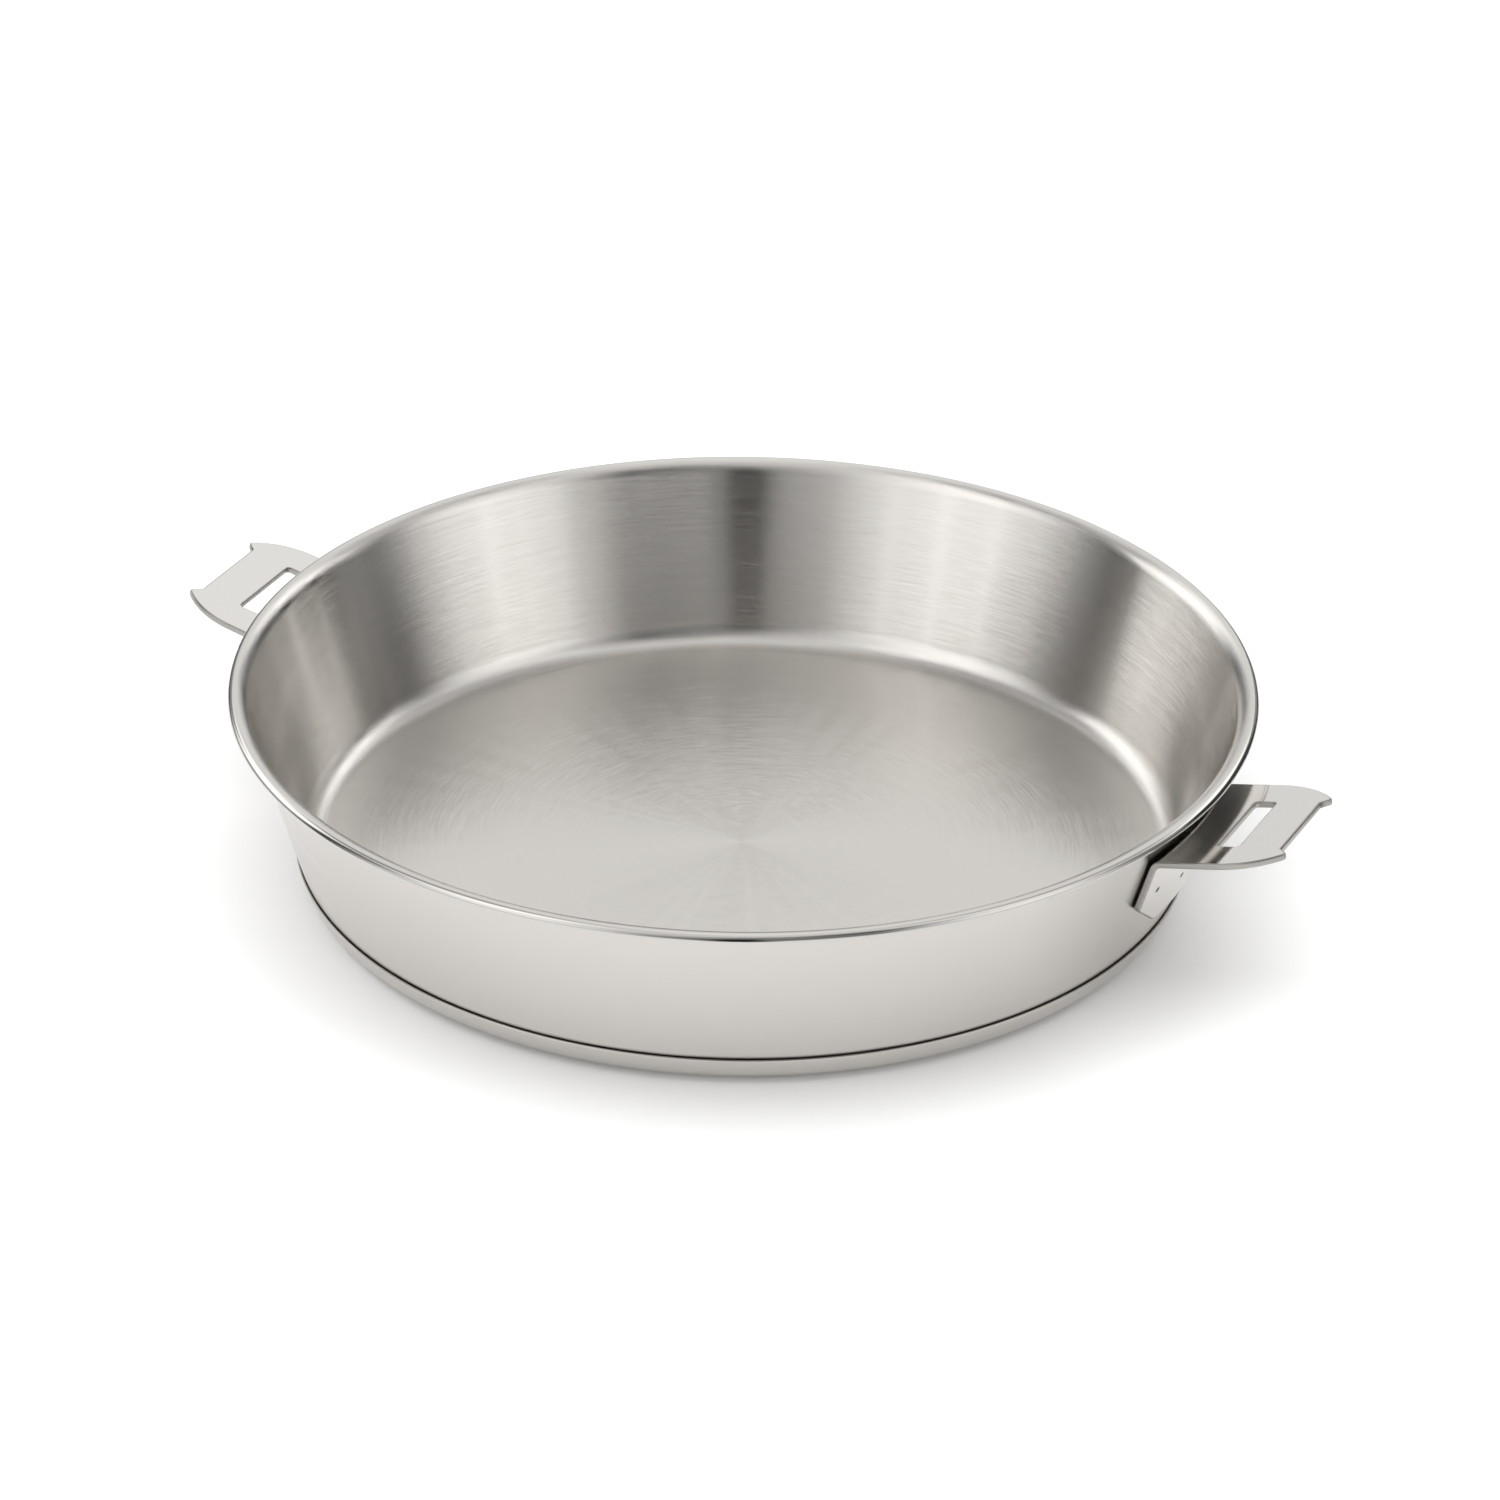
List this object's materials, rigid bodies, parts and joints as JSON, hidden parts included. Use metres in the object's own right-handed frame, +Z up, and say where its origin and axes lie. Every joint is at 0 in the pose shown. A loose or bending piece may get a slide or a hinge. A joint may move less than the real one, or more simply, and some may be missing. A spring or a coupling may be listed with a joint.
{
  "type": "frying pan",
  "caption": "Shallow stainless steel frying pan with a flared wall, a curled pouring lip, an encapsulated base and slotted side brackets that take clip-on handles.",
  "frame": {"origin": "on the table, under the middle of the pan", "axes": "+X out through the right bracket, +Y to the back of the pan as seen with that bracket on the right, +Z up"},
  "size_m": [0.3312, 0.28, 0.0551],
  "materials": {
    "pan_steel": "brushed in rings inside, polished outside",
    "core_aluminium": "mill finish",
    "base_steel": "polished edge, turned underside",
    "bracket_steel": "polished"
  },
  "bodies": {
    "root": {"pan_body": "pan_steel", "core_disc": "core_aluminium", "base_cap": "base_steel", "handle_bracket_right": "bracket_steel", "handle_bracket_left": "bracket_steel"}
  },
  "joints": []
}
